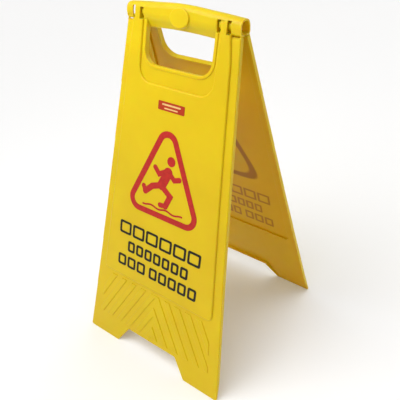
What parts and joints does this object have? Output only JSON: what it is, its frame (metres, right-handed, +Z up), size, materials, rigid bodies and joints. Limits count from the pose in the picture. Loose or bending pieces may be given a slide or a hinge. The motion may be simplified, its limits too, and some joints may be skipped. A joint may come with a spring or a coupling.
{
  "type": "wet floor sign",
  "caption": "Folding A-frame floor sign: two thin-wall plastic panels hinged under a bowed carrying grip, with printed warning triangles, hand holes and notched feet.",
  "frame": {"origin": "on the floor, under the middle of the hinge line, with the sign open", "axes": "+Z up, X along the hinge line, the front face looks along -Y"},
  "size_m": [0.3032, 0.326, 0.5916],
  "materials": {
    "yellow_plastic": "satin injection-moulded polypropylene, slightly translucent",
    "pin_plastic": "satin moulded polypropylene",
    "badge_vinyl": "printed vinyl",
    "light_ink": "printed ink",
    "red_ink": "screen-printed ink",
    "black_ink": "screen-printed ink"
  },
  "bodies": {
    "front_half": {"front_panel": "yellow_plastic", "left_hinge_pin": "pin_plastic", "front_badge_label": "badge_vinyl", "front_badge_stripes": "light_ink", "front_warning_triangle": "red_ink", "front_slip_figure": "red_ink", "front_text_row_upper": "black_ink", "front_text_row_middle": "black_ink", "front_text_row_lower": "black_ink"},
    "rear_half": {"rear_panel": "yellow_plastic", "right_hinge_pin": "pin_plastic", "rear_badge_label": "badge_vinyl", "rear_badge_stripes": "light_ink", "rear_warning_triangle": "red_ink", "rear_slip_figure": "red_ink", "rear_text_row_upper": "black_ink", "rear_text_row_middle": "black_ink", "rear_text_row_lower": "black_ink"}
  },
  "joints": [
    {"name": "spread_hinge", "type": "hinge", "parent": "front_half", "child": "rear_half", "pos_m": [0, 0, 0.5734], "axis": [-1, 0, 0], "range_deg": [0, 30.2]}
  ]
}
